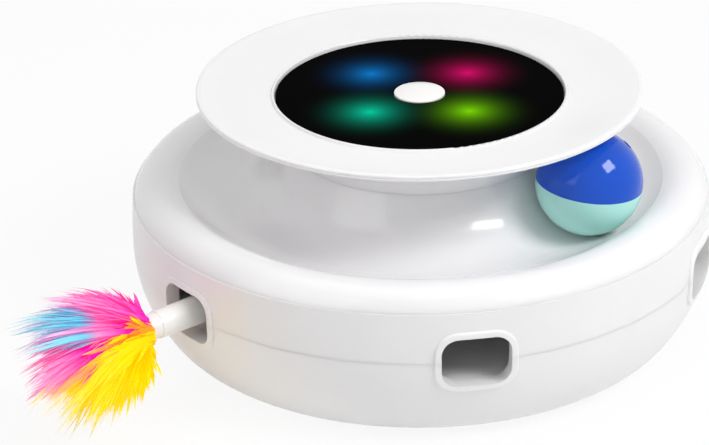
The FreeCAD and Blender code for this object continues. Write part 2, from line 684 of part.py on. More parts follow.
def turntable():
    """The turning plate with its hub, six lightening holes, a stiffening rim and the wand's pin."""
    low = COLLAR_Z + WASHER_T + RUN
    shape = turned(
        p(POST_R + RUN, low),
        p(HUB_BOSS_R, low),
        p(HUB_BOSS_R, TABLE_Z),
        p(TABLE_R, TABLE_Z),
        p(TABLE_R, TABLE_Z + TABLE_T),
        p(HUB_BOSS_R - 2, TABLE_Z + TABLE_T),
        p(HUB_BOSS_R - 2, table_hub_top()),
        p(POST_R + RUN, table_hub_top()),
    )
    pin = cylinder(PIN_R, TABLE_Z, SEAM_Z + ARM_BOSS_R + 2, 0, -PIVOT_R)
    spigot = cylinder(PIN_R + 2.5, TABLE_Z, SEAM_Z - ARM_BOSS_R - 0.3, 0, -PIVOT_R)
    shape = shape.fuse([at_bearing(pin, WAND_BEARING), at_bearing(spigot, WAND_BEARING)])
    hole = cylinder(9.0, TABLE_Z - 1, TABLE_Z + TABLE_T + 1, 0, -(HUB_BOSS_R + TABLE_R + 12) / 2)
    return one(shape.cut(ring_of(hole, 6, WAND_BEARING + 30.0)))


def gear(teeth, add, ded, bore, z0, z1, mate_gap):
    """A spur gear with involute flanks, each flank drawn through five points."""
    pitch = MODULE * teeth / 2
    base = pitch * math.cos(math.radians(20))
    tip = pitch + add
    root = pitch - ded
    half_pitch_angle = math.pi / (2 * teeth) - mate_gap / 2 / pitch
    flat = half_pitch_angle + involute(pitch, base)
    points = []
    start = max(root, base)
    for i in range(teeth):
        middle = 2 * math.pi * i / teeth
        flank = []
        if root < base:
            flank.append((root, flat))
        for k in range(4):
            r = start + (tip - start) * k / 3
            flank.append((r, flat - involute(r, base)))
        for r, a in flank:
            points.append(Vector(r * math.cos(middle - a), r * math.sin(middle - a), z0))
        for r, a in reversed(flank):
            points.append(Vector(r * math.cos(middle + a), r * math.sin(middle + a), z0))
    points.append(points[0])
    face = Part.Face(Part.makePolygon(points))
    return face.extrude(Vector(0, 0, z1 - z0)).cut(cylinder(bore, z0 - 1, z1 + 1))


def involute(r, base):
    """Polar angle of an involute at radius r."""
    t = math.sqrt(max((r / base) ** 2 - 1, 0))
    return t - math.atan(t)


def drive_wheel():
    """The large gear under the turntable, fixed round its hub."""
    shape = gear(WHEEL_TEETH, 0.6 * MODULE, 1.25 * MODULE, HUB_BOSS_R, TABLE_Z - GEAR_T, TABLE_Z, BACKLASH)
    return at_bearing(shape, MOTOR_BEARING - 90)


def motor_pinion():
    """The small gear on the gearbox's output shaft, in mesh with the wheel."""
    low = TABLE_Z - GEAR_T + 0.2
    shape = gear(PINION_TEETH, MODULE * 0.9, MODULE * 1.1, SHAFT_R, low, TABLE_Z - 0.3, BACKLASH)
    half_tooth = 180.0 / PINION_TEETH
    shape.rotate(AXIS, UP, 180.0 + half_tooth)
    shape.translate(Vector(GEAR_CENTRES, 0, 0))
    return at_bearing(shape, MOTOR_BEARING - 90)


def output_shaft():
    shape = cylinder(SHAFT_R, PAD_Z + MOTOR_H / 2, TABLE_Z - 0.3, GEAR_CENTRES)
    return at_bearing(shape, MOTOR_BEARING - 90)


def gearbox():
    """The flat gearbox of the drive, with a bore for its output shaft and two fixing ears."""
    start = GEAR_CENTRES - MOTOR_NOSE
    half = MOTOR_W / 2
    top = PAD_Z + MOTOR_H
    shape = block(start, start + MOTOR_L, -half, half, PAD_Z, top, 2.0)
    nose = cylinder(SHAFT_R + 2.5, top, top + NOSE_H, GEAR_CENTRES)
    ear = block(start + MOTOR_L - 12, start + MOTOR_L - 4, -half - 6, half + 6, PAD_Z, PAD_Z + 2.5, 1.5)
    shape = shape.fuse([nose, ear])
    shape = shape.cut(cylinder(SHAFT_R + RUN, PAD_Z + MOTOR_H / 2, top + 3, GEAR_CENTRES))
    return at_bearing(shape, MOTOR_BEARING - 90)


def motor_can():
    """The motor itself, set into the far end of the gearbox."""
    start = GEAR_CENTRES - MOTOR_NOSE + MOTOR_L
    z = PAD_Z + MOTOR_H / 2
    can = Part.makeCylinder(CAN_R, CAN_L, Vector(start, 0, z), Vector(1, 0, 0))
    can = can.makeFillet(1.0, [e for e in can.Edges if e.BoundBox.XMin > start + 1 and e.Closed])
    return at_bearing(can, MOTOR_BEARING - 90)


def wand_frame(shape):
    """Lay a piece made along +X from the pivot into the wand's window."""
    copy = shape.copy()
    copy.translate(Vector(PIVOT_R, 0, SEAM_Z))
    return at_bearing(copy, WAND_BEARING - 90)


def wand_arm():
    """The hinged boss and the spigot that the wand's tube is pushed onto."""
    boss = cylinder(ARM_BOSS_R, -ARM_BOSS_R, ARM_BOSS_R)
    spigot = Part.makeCylinder(TUBE_ROOT_R - TUBE_WALL, 24, AXIS, Vector(1, 0, 0))
    shape = boss.fuse(spigot)
    return wand_frame(one(shape.cut(cylinder(PIN_R + RUN, -ARM_BOSS_R - 1, ARM_BOSS_R + 1))))


def wand_tube():
    """The tapered tube that reaches out through a window."""
    x0 = ARM_BOSS_R
    x1 = TUBE_END - PIVOT_R
    bore = TUBE_ROOT_R - TUBE_WALL
    outer = Part.makeCone(TUBE_ROOT_R, TUBE_TIP_R, x1 - x0, Vector(x0, 0, 0), Vector(1, 0, 0))
    inner = Part.makeCylinder(bore, 24 - x0, Vector(x0, 0, 0), Vector(1, 0, 0))
    tip_bore = Part.makeCylinder(TUBE_TIP_R - TUBE_WALL, x1, Vector(x0, 0, 0), Vector(1, 0, 0))
    boss = cylinder(ARM_BOSS_R, -ARM_BOSS_R, ARM_BOSS_R)
    return wand_frame(one(outer.cut(inner).cut(tip_bore).cut(boss)))


def wand_cap():
    """The collar at the tube's end that grips the feathers."""
    x0 = TUBE_END - PIVOT_R
    profile = Part.makePolygon(
        [
            Vector(x0 - 5, 0, 0),
            Vector(x0 - 5, 0, TUBE_TIP_R - TUBE_WALL),
            Vector(x0, 0, TUBE_TIP_R - TUBE_WALL),
            Vector(x0, 0, CAP_R + 0.2),
            Vector(x0 + CAP_L - 0.8, 0, CAP_R),
            Vector(x0 + CAP_L, 0, CAP_R - 0.8),
            Vector(x0 + CAP_L, 0, 0),
            Vector(x0 - 5, 0, 0),
        ]
    )
    return wand_frame(Part.Face(profile).revolve(AXIS, Vector(1, 0, 0), 360))


def wand_keeper():
    """The push-on ring that holds the arm on its pin."""
    z = ARM_BOSS_R + 0.3
    return wand_frame(tube(PIN_R + 2.0, PIN_R, z, z + 1.2))


def plume_ring(x, lift, rise, spread):
    """One oval of the plume's outline."""
    flat = Part.Ellipse(Vector(0, 0, 0), rise, spread).toShape()
    flat.rotate(AXIS, Vector(0, 1, 0), 90)
    flat.translate(Vector(x, 0, lift))
    return Part.Wire([flat])


def feather_plume():
    """The outline of the tuft of feathers, which opens from the cap and hangs a little."""
    x0 = TUBE_END - PIVOT_R + CAP_L
    stations = ((0.0, 0.0, 0.14), (0.1, 0.0, 0.42), (0.3, -1.0, 0.84), (0.55, -2.5, 1.0), (0.82, -2.0, 0.86), (1.0, 0.0, 0.42))
    rings = []
    for along, lift, share in stations:
        ring = plume_ring(x0 + PLUME_L * along, lift, PLUME_RISE * share, PLUME_SPREAD * share)
        rings.append(ring)
    return wand_frame(Part.makeLoft(rings, True, False))


def ball_frame(shape):
    """Set a piece made round the ball's centre in its place on the track."""
    copy = shape.copy()
    copy.rotate(AXIS, Vector(0, 1, 0), BALL_TILT)
    turn = math.radians(BALL_BEARING)
    copy.translate(Vector(TRACK_R * math.sin(turn), -TRACK_R * math.cos(turn), BALL_Z))
    return copy


def half_ball(sign):
    """A hollow half of the ball, above or below its seam."""
    inner = BALL_R - BALL_WALL
    slant = math.sqrt(0.5)
    return turned(
        p(BALL_R, 0),
        (p(BALL_R * slant, sign * BALL_R * slant), p(0, sign * BALL_R)),
        p(0, sign * inner),
        (p(inner * slant, sign * inner * slant), p(inner, 0)),
    )


def ball_top():
    """The upper half of the ball, with two sound holes for the bell."""
    shape = half_ball(1)
    for side in (-1, 1):
        hole = Part.makeCylinder(SOUND_HOLE_R, BALL_R * 2, AXIS, UP)
        hole.rotate(AXIS, Vector(0, 1, 0), side * SOUND_HOLE_POLAR)
        shape = shape.cut(hole)
    return ball_frame(shape)


def ball_bottom():
    return ball_frame(half_ball(-1))


def ball_bell():
    """The loose bell inside the ball, which stays at the bottom while the ball rolls over it."""
    z = -(BALL_R - BALL_WALL - BELL_R - BALL_GAP)
    shape = Part.makeSphere(BELL_R, Vector(0, 0, 0))
    shape = shape.cut(Part.makeSphere(BELL_R - 0.6, Vector(0, 0, 0)))
    shape = shape.cut(block(-BELL_R, BELL_R, -0.6, 0.6, -BELL_R, -BELL_R * 0.3))
    shape.translate(Vector(0, 0, z))
    turn = math.radians(BALL_BEARING)
    shape.translate(Vector(TRACK_R * math.sin(turn), -TRACK_R * math.cos(turn), BALL_Z))
    return shape


def battery_cell():
    z = PAD_Z + CELL_UP + CELL_R
    cell = Part.makeCylinder(CELL_R, CELL_L, Vector(-CELL_L / 2, -CELL_AT, z), Vector(1, 0, 0))
    cell = cell.makeFillet(0.8, [e for e in cell.Edges if e.Closed])
    return at_bearing(cell, CELL_BEARING)


def battery_cradle():
    """The open tray that holds the cell, with end walls and a curved bed."""
    half_l = CELL_L / 2 + 2.2
    half_w = CELL_R + 1.6
    z = PAD_Z + CELL_UP + CELL_R
    tray = block(-half_l, half_l, -CELL_AT - half_w, -CELL_AT + half_w, PAD_Z, z + 2, 1.5)
    bed = Part.makeCylinder(
        CELL_R + 0.2, CELL_L + 0.4, Vector(-CELL_L / 2 - 0.2, -CELL_AT, z), Vector(1, 0, 0)
    )
    top = block(
        -CELL_L / 2 - 0.2, CELL_L / 2 + 0.2, -CELL_AT - CELL_R - 0.2, -CELL_AT + CELL_R + 0.2, z, z + 9
    )
    return at_bearing(tray.cut(bed.fuse(top)), CELL_BEARING)


def control_board():
    """The control board, on its two bosses, with the socket on its outer end."""
    half = CONTROL_W / 2
    shape = block(-half, half, -CONTROL_END, -CONTROL_END + CONTROL_L, CONTROL_Z, CONTROL_Z + BOARD_T)
    for side in (-1, 1):
        x = side * (half - CONTROL_SCREW_IN)
        y = CONTROL_END - CONTROL_L + CONTROL_SCREW_IN
        shape = shape.cut(cylinder(SCREW_R + SCREW_GAP, 0, SEAM_Z, x, -y))
    return at_bearing(shape, CONTROL_BEARING)


def charging_socket():
    """The charging inlet, which looks out through the wall at the back."""
    half = SOCKET_W / 2
    z = CONTROL_Z + BOARD_T
    end = belly_r(z + SOCKET_H / 2) - 0.6
    shell = Part.makeBox(SOCKET_W, end - CONTROL_END + SOCKET_L / 2, SOCKET_H, Vector(-half, -end, z))
    shell = shell.makeFillet(SOCKET_H * 0.45, [e for e in shell.Edges if abs(e.tangentAt(e.FirstParameter).y) > 0.99])
    mouth = Part.makeBox(SOCKET_W - 0.8, SOCKET_L, SOCKET_H - 0.8, Vector(-half + 0.4, -end - 1, z + 0.4))
    tongue = Part.makeBox(SOCKET_W - 2.8, SOCKET_L - 1, 0.7, Vector(-half + 1.4, -end + 0.8, z + SOCKET_H / 2 - 0.35))
    return at_bearing(shell.cut(mouth).fuse(tongue), CONTROL_BEARING)


def rubber_feet():
    foot = cylinder(FOOT_R - 0.1, 0, FLOOR_Z + FOOT_POCKET, 0, -FOOT_AT)
    foot = foot.makeFillet(0.5, [e for e in foot.Edges if e.Closed and e.BoundBox.ZMax < 0.01])
    return Part.makeCompound(ring_of(foot, FEET, 45.0))


def screws():
    """Every group of screws, by the name of what it holds."""
    seat = SEAM_Z - CASE_SEAT
    hub = screw(HUB_Z - WALL, 9.0)
    board = screw(0, 7.0)
    board.rotate(AXIS, Vector(1, 0, 0), 180)
    board.translate(Vector(0, 0, LAMP_TOP_Z))
    control = screw(0, 6.5)
    control.rotate(AXIS, Vector(1, 0, 0), 180)
    control.translate(Vector(0, 0, CONTROL_Z + BOARD_T))
    plate = screw(HUB_Z + PLATE_SEAT_UP, 9.0)
    controls = []
    for side in (-1, 1):
        one_screw = control.copy()
        y = CONTROL_END - CONTROL_L + CONTROL_SCREW_IN
        one_screw.translate(Vector(side * (CONTROL_W / 2 - CONTROL_SCREW_IN), -y, 0))
        controls.append(at_bearing(one_screw, CONTROL_BEARING))
    return {
        "case_screws": ring_of_screws(screw(seat, 16.0), CASE_SCREW_AT, WINDOWS, 180.0 / WINDOWS),
        "dish_screws": ring_of_screws(screw(SHOULDER_Z - WALL, DISH_SCREW_L), DISH_SCREW_AT, WINDOWS, 0.0),
        "hub_screws": ring_of_screws(hub, HUB_SCREW_AT, HUB_SCREWS, 0.0),
        "board_screws": ring_of_screws(board, BOARD_SCREW_AT, HUB_SCREWS, 45.0),
        "plate_screws": ring_of_screws(plate, PLATE_SCREW_AT, HUB_SCREWS, 45.0),
        "control_screws": Part.makeCompound(controls),
    }


def ring_of_screws(shape, radius, count, first):
    return Part.makeCompound(ring_of(placed(shape, radius, 0), count, first))


def pieces():
    """Every piece of the toy by name."""
    made = {
        "bottom_shell": bottom_shell(),
        "side_shell": side_shell(),
        "track_dish": track_dish(),
        "disc_bowl": disc_bowl(),
        "disc_plate": disc_plate(),
        "light_panel": light_panel(),
        "lamp_board": lamp_board(),
        "lamp_pink": lamp(0),
        "lamp_blue": lamp(1),
        "lamp_teal": lamp(2),
        "lamp_green": lamp(3),
        "switch_base": switch_base(),
        "switch_plunger": switch_plunger(),
        "power_button": power_button(),
        "center_post": center_post(),
        "thrust_washer": thrust_washer(),
        "post_clip": post_clip(),
        "turntable": turntable(),
        "drive_wheel": drive_wheel(),
        "motor_pinion": motor_pinion(),
        "output_shaft": output_shaft(),
        "gearbox": gearbox(),
        "motor_can": motor_can(),
        "wand_arm": wand_arm(),
        "wand_keeper": wand_keeper(),
        "wand_tube": wand_tube(),
        "wand_cap": wand_cap(),
        "feather_plume": feather_plume(),
        "ball_top": ball_top(),
        "ball_bottom": ball_bottom(),
        "ball_bell": ball_bell(),
        "battery_cell": battery_cell(),
        "battery_cradle": battery_cradle(),
        "control_board": control_board(),
        "charging_socket": charging_socket(),
        "rubber_feet": rubber_feet(),
    }
    made.update(screws())
    return made


os.makedirs("parts", exist_ok=True)
for name, shape in pieces().items():
    shape.exportStep("parts/" + name + ".step")
    print(name, len(shape.Solids), "valid" if shape.isValid() else "INVALID", round(shape.Volume, 1))
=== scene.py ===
import math
import random

import bmesh
import bpy
from mathutils import Matrix, Vector


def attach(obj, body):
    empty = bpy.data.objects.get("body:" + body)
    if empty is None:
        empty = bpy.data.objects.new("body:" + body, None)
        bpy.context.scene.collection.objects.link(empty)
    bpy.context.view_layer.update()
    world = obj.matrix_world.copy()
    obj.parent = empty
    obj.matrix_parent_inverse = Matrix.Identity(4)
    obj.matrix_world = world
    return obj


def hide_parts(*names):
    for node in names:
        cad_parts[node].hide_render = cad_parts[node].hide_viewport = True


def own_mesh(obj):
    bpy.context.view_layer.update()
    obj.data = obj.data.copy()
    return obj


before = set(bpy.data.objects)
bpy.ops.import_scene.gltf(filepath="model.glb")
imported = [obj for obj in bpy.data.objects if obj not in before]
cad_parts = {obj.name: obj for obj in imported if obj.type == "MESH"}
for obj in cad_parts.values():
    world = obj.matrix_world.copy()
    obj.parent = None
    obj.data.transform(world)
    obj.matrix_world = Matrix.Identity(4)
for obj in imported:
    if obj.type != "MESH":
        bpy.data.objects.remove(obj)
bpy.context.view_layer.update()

# Housing. Injection-moulded ABS in a neutral white, polished on the outside: a lower bowl, a side
# ring, the dish with the ball's track, and the flared bowl and plate of the raised disc.
# Each is one moulding, screwed to the next, with a parting line where they meet.
MOTTLE_MM = 55.556
SKIN_MM = 0.5
SKIN_DEEP = 0.0001


def linear(code):
    """An sRGB hex colour as linear RGBA."""
    values = [int(code[i:i + 2], 16) / 255 for i in (0, 2, 4)]
    return tuple(v / 12.92 if v <= 0.04045 else ((v + 0.055) / 1.055) ** 2.4 for v in values) + (1.0,)


def add(tree, kind, links=None, **settings):
    """Add a node; settings are its properties or input values, links its inputs' sources."""
    node = tree.nodes.new(kind)
    for name, value in settings.items():
        if hasattr(node, name):
            setattr(node, name, value)
        else:
            node.inputs[name.replace("_", " ")].default_value = value
    for name, source in (links or {}).items():
        tree.links.new(source, node.inputs[name])
    return node


def new_material(name, **shader):
    """A material with a Principled shader set to these values; returns it, its tree and the shader."""
    material = bpy.data.materials.new(name)
    material.use_nodes = True
    tree = material.node_tree
    principled = tree.nodes["Principled BSDF"]
    for key, value in shader.items():
        principled.inputs[key.replace("_", " ")].default_value = value
    return material, tree, principled


def moulded_plastic(name, light, dark, roughness, grain_mm=SKIN_MM, grain=0.06, **depth):
    """Plastic as it leaves its mould: a trace of mottling, gloss that wavers, and a faint skin.

    The skin of a real moulding is finer than a tenth of a millimetre. It is drawn coarser to show.
    """
    material, tree, shader = new_material(name, IOR=1.53, Roughness=roughness, **depth)
    place = add(tree, "ShaderNodeTexCoord").outputs["Object"]
    cloud = add(tree, "ShaderNodeTexNoise", {"Vector": place}, Scale=1000.0 / MOTTLE_MM, Detail=2.0)
    tint = add(tree, "ShaderNodeValToRGB", {"Fac": cloud.outputs["Fac"]})
    tint.color_ramp.elements[0].position = 0.3
    tint.color_ramp.elements[0].color = linear(dark)
    tint.color_ramp.elements[1].position = 0.7
    tint.color_ramp.elements[1].color = linear(light)
    tree.links.new(tint.outputs["Color"], shader.inputs["Base Color"])
    dull, bright = roughness * 1.15, roughness * 0.85
    gloss = add(tree, "ShaderNodeMapRange", {"Value": cloud.outputs["Fac"]}, To_Min=bright, To_Max=dull)
    tree.links.new(gloss.outputs["Result"], shader.inputs["Roughness"])
    skin = add(tree, "ShaderNodeTexNoise", {"Vector": place}, Scale=1000.0 / grain_mm, Detail=1.0)
    bump = add(tree, "ShaderNodeBump", {"Height": skin.outputs["Fac"]}, Strength=grain, Distance=SKIN_DEEP)
    tree.links.new(bump.outputs["Normal"], shader.inputs["Normal"])
    return material


def dress(material, *names):
    """Give CAD pieces their material."""
    for name in names:
        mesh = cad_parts[name].data
        mesh.materials.clear()
        mesh.materials.append(material)


# White ABS and acetal pass some light. It goes in a few millimetres and brightens a thin wall inside.
MILKY = {"Subsurface_Weight": 0.35, "Subsurface_Radius": (1.0, 1.0, 0.95), "Subsurface_Scale": 0.003}
white_abs = moulded_plastic("white ABS, polished mould", "f3f2f3", "efeeef", 0.3, **MILKY)
track_abs = moulded_plastic("white ABS, high gloss", "f4f3f4", "f1f0f1", 0.16, **MILKY)
dress(white_abs, "bottom_shell", "side_shell")
dress(track_abs, "track_dish", "disc_bowl", "disc_plate")

# Lamp panel. A disc of smoked acrylic, dropped into its seat in the plate and lit from below by
# four small coloured lamps, whose light spreads in it as soft round glows.
LAMP_RING = 0.027
LAMP_HALO = 0.032
LAMP_FADE = 4.2
LENS_GLOW = 0.5
PANEL_TOP = 0.0963
HAZE_MM = 8.3333
LAMPS = (
    ("lamp_pink", 125, "d8056a"),
    ("lamp_blue", 215, "0878c8"),
    ("lamp_teal", 305, "00c89e"),
    ("lamp_green", 35, "7cd600"),
)


def on_bearing(radius, degrees, z=0.0):
    """A point at a bearing round the body, counted from the front towards +X."""
    turn = math.radians(degrees)
    return Vector((radius * math.sin(turn), -radius * math.cos(turn), z))


def smoked_acrylic():
    """Nearly black, with a glow round each lamp. Its low IOR keeps a white room's shine off it."""
    material, tree, shader = new_material(
        "smoked acrylic", Base_Color=linear("020202"), Roughness=0.3, IOR=1.02
    )
    place = add(tree, "ShaderNodeTexCoord").outputs["Object"]
    glow = None
    for name, bearing, code in LAMPS:
        middle = on_bearing(LAMP_RING, bearing, PANEL_TOP)
        away = add(tree, "ShaderNodeVectorMath", {0: place}, operation="DISTANCE")
        away.inputs[1].default_value = middle
        gap = {"Value": away.outputs["Value"]}
        fade = add(tree, "ShaderNodeMapRange", gap, From_Min=LAMP_HALO, From_Max=0.0)
        soft = add(tree, "ShaderNodeMath", {0: fade.outputs["Result"]}, operation="POWER")
        soft.inputs[1].default_value = LAMP_FADE
        lit = add(tree, "ShaderNodeMix", {"Factor": soft.outputs["Value"]}, data_type="RGBA")
        lit.inputs[6].default_value = (0, 0, 0, 1)
        lit.inputs[7].default_value = linear(code)
        if glow is None:
            glow = lit.outputs[2]
        else:
            lights = {6: glow, 7: lit.outputs[2]}
            both = add(tree, "ShaderNodeMix", lights, data_type="RGBA", blend_type="ADD", Factor=1.0)
            glow = both.outputs[2]
    tree.links.new(glow, shader.inputs["Emission Color"])
    shader.inputs["Emission Strength"].default_value = 1.0
    haze = add(tree, "ShaderNodeTexNoise", {"Vector": place}, Scale=1000.0 / HAZE_MM, Detail=3.0)
    sheen = add(tree, "ShaderNodeMapRange", {"Value": haze.outputs["Fac"]}, To_Min=0.24, To_Max=0.36)
    tree.links.new(sheen.outputs["Result"], shader.inputs["Roughness"])
    return material


dress(smoked_acrylic(), "light_panel")
for lamp_name, bearing, code in LAMPS:
    lens = moulded_plastic("lamp lens " + lamp_name[5:], code, code, 0.1)
    tinted = lens.node_tree.nodes["Principled BSDF"].inputs
    tinted["Emission Color"].default_value = linear(code)
    tinted["Emission Strength"].default_value = LENS_GLOW
    dress(lens, lamp_name)

# Power button. A domed cap in white ABS, a little whiter than the disc, that slides in the middle
# of the panel on the switch's plunger.
button_abs = moulded_plastic("white ABS, button", "f8f7f6", "f5f4f3", 0.22)
dress(button_abs, "power_button")

# Boards and electrical pieces. Glass-fibre board under green mask, black nylon for the switch and
# the post's washer, and a shrink-wrapped cell in a cradle of grey ABS. The motor's can, the socket's
# shell, the shaft, the ring on the post, the bell and the screws are plated steel.
GRIT_MM = 0.66667
dress(moulded_plastic("solder mask green", "1e5c38", "184c2e", 0.4), "lamp_board", "control_board")
black_nylon = moulded_plastic("black nylon", "1d1d1f", "161618", 0.5)
dress(black_nylon, "switch_base", "switch_plunger", "thrust_washer")
dress(moulded_plastic("grey ABS, matt mould", "b4b4b9", "acacb1", 0.5), "battery_cradle")
dress(moulded_plastic("shrink wrap blue", "2f6fb5", "2a66a8", 0.3), "battery_cell")


def turned_steel():
    """Plated steel whose sheen is broken by the marks of the tool, drawn coarser than they are."""
    material, tree, shader = new_material(
        "plated steel, turned", Base_Color=linear("c8c9cc"), Metallic=1.0, Roughness=0.3
    )
    place = add(tree, "ShaderNodeTexCoord").outputs["Object"]
    grind = add(tree, "ShaderNodeTexNoise", {"Vector": place}, Scale=1000.0 / GRIT_MM, Detail=2.0)
    rough = add(tree, "ShaderNodeMapRange", {"Value": grind.outputs["Fac"]}, To_Min=0.24, To_Max=0.38)
    tree.links.new(rough.outputs["Result"], shader.inputs["Roughness"])
    return material


STEEL = ("output_shaft", "motor_can", "post_clip", "charging_socket", "case_screws", "dish_screws")
STEEL += ("hub_screws", "board_screws", "plate_screws", "control_screws", "ball_bell")
dress(turned_steel(), *STEEL)

# Turning gear. The turntable, its wheel and pinion, the wand's arm, the post and the gearbox are
# acetal mouldings in their natural off-white, which slides without grease and is dull beside the ABS.
pale_acetal = moulded_plastic("natural acetal", "dcdcda", "d4d4d2", 0.45, **MILKY)
GEAR = ("turntable", "drive_wheel", "motor_pinion", "gearbox", "center_post", "wand_arm", "wand_keeper")
dress(pale_acetal, *GEAR)

# Gear deck. A thin ring inside the housing, level with the sills of the windows, that keeps paws and
# dust off the drive. It is moulded in white ABS, and the bosses of the case screws hold it.
DECK_IN = 0.0715
DECK_OUT = 0.1106
DECK_TOP = 0.0283
DECK_T = 0.0014
DECK_LIP = 3 * DECK_T
DECK_ROUND = 0.0004
DECK_STEPS = 96
SHARP = 1.0


def gear_deck():
    """The ring, spun from its section, with its inner edge rolled down."""
    bm = bmesh.new()
    corners = (
        (DECK_IN, DECK_TOP - DECK_LIP),
        (DECK_IN, DECK_TOP),
        (DECK_OUT, DECK_TOP),
        (DECK_OUT, DECK_TOP - DECK_T),
        (DECK_IN + DECK_T, DECK_TOP - DECK_T),
        (DECK_IN + DECK_T, DECK_TOP - DECK_LIP),
    )
    section = [bm.verts.new((x, 0, z)) for x, z in corners]
    rim = [bm.edges.new((section[i - 1], section[i])) for i in range(len(section))]
    bmesh.ops.spin(
        bm, geom=section + rim, axis=(0, 0, 1), cent=(0, 0, 0),
        angle=2 * math.pi, steps=DECK_STEPS, use_merge=True,
    )
    bmesh.ops.recalc_face_normals(bm, faces=bm.faces)
    turned = [e for e in bm.edges if len(e.link_faces) == 2 and e.calc_face_angle() > SHARP]
    bmesh.ops.bevel(bm, geom=turned, offset=DECK_ROUND, affect="EDGES", segments=3, profile=0.5, material=-1)
    for face in bm.faces:
        face.smooth = True
    mesh = bpy.data.meshes.new("gear_deck")
    bm.to_mesh(mesh)
    bm.free()
    mesh.materials.append(white_abs)
    piece = bpy.data.objects.new("gear_deck", mesh)
    bpy.context.scene.collection.objects.link(piece)
    return piece


deck = gear_deck()
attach(deck, "housing")

# Feet. Soft rubber buttons pressed into pockets under the bowl, matt and with a grain of 0.3 mm
# that the mould leaves on them.
dress(moulded_plastic("black rubber", "2c2c2e", "232325", 0.85, 0.3, 0.2), "rubber_feet")

# Wand. A tapered tube and the collar that grips the feathers, moulded in white ABS and pushed on
# the arm's spigot.
wand_abs = moulded_plastic("white ABS, wand", "f5f4f1", "f0efec", 0.28)
dress(wand_abs, "wand_tube", "wand_cap")

# Track ball. Two hollow halves snapped together at the seam, polished polystyrene: blue above with
# a round sound hole, mint below.
POLISHED = 0.02
blue_half = moulded_plastic(
    "blue polystyrene, polished", "0852cc", "074ec4", 0.06, SKIN_MM, POLISHED, Specular_IOR_Level=0.28
)
mint_half = moulded_plastic(
    "mint polystyrene, polished", "b2ece4", "ace6de", 0.1, SKIN_MM, POLISHED, Specular_IOR_Level=0.35
)
dress(blue_half, "ball_top")
dress(mint_half, "ball_bottom")

# Feathers. A tuft of dyed marabou, its quills gripped in the collar: soft barbs that part into
# wisps and droop. The tuft fans out, pink and light blue above, magenta in the middle and a full
# yellow bunch below, and every dye pales towards the tips.
WAND_BEARING = -60
WAND_Z = 0.0384
COLLAR_AT = 0.1345
OUTWARD = on_bearing(1.0, WAND_BEARING)
UPWARD = Vector((0, 0, 1))
SIDEWAYS = UPWARD.cross(OUTWARD)
COLLAR = on_bearing(COLLAR_AT, WAND_BEARING, WAND_Z)
# The fan's own axes: along its plane, up its plane, and out of it on the side that shows.
FAN_ACROSS = OUTWARD * 0.766 - SIDEWAYS * 0.643
FAN_RISE = UPWARD * 0.909 - OUTWARD * 0.267 - SIDEWAYS * 0.319
FAN_DEPTH = UPWARD * 0.416 + OUTWARD * 0.585 + SIDEWAYS * 0.696
# The fan's edge: how far it reaches, in millimetres, at each lean in degrees from level.
FAN_EDGE = (
    (-92, 22), (-84, 29), (-74, 36), (-65, 45), (-56, 51), (-35, 51),
    (-18, 48), (4, 49), (16, 41), (27, 33), (36, 24), (50, 13),
)
FULL_REACH = 0.060
FORWARD_FROM = math.radians(19)
BULGE = 0.40
THICKNESS = 0.26
WISPS = 360
SHORT_WISPS = 79
LONG_SHARE = 0.68
# Real barbs are a few hundredths of a millimetre wide. They are drawn coarser, so that they show,
# and in each wisp a few broad ones fill in for the fluff between them.
FLUFF = 8
FLUFF_WIDTH = 0.0021
BARBS = 16
BARB_STEPS = 5
BARB_WIDTH = 0.0004
QUILL_SPREAD = 0.0009
LOOSE_TIP = 0.0009
LOOSE_SHORT = 0.0045
CURL = 0.04
DROOP = 0.15
LOW_DROOP = 0.07
LOW_LEAN = -70
GRIP_UP = 0.0042
GRIP_SIDE = 0.0024
FLOOR_ROOM = 0.0025
# Painted glow: the barbs give off a little light in their own colour, so that the shade deep in the tuft
# stays light.
PAINTED_GLOW = 0.22
SEE_THROUGH = 0.15
DYES = (
    ("yellow", ((0.04, "ffe000"), (0.3, "ffe90a"), (0.58, "ffec3c"), (0.78, "faf290"), (1.0, "faf6c8"))),
    ("orange", ((0.05, "ffb828"), (0.3, "ff8c3c"), (0.5, "ffbe80"))),
    ("magenta", ((0.08, "ff2a90"), (0.24, "ff00bc"), (0.48, "fb14b8"), (0.62, "f88acc"), (0.88, "fac4e2"))),
    ("pink", ((0.12, "ff24b8"), (0.36, "f886ce"), (0.7, "f9c6e6"))),
    ("light blue", ((0.22, "ff1cb4"), (0.38, "f68acc"), (0.5, "7cd2e8"), (0.76, "a6e2ee"), (0.98, "d4f0f6"))),
)
YELLOW, ORANGE, MAGENTA, PINK, BLUE = range(5)
# The leans at which one dye gives way to the next, and the short yellow and orange wisps in front.
YELLOW_TO, ORANGE_TO, MAGENTA_TO = -37, -34, -2.5
BLUE_FROM, BLUE_TO = 0, 15
STRAY_FROM = -9.5
SHORT_SHARE, SHORT_TO, ORANGE_FROM = 0.58, 14, -24


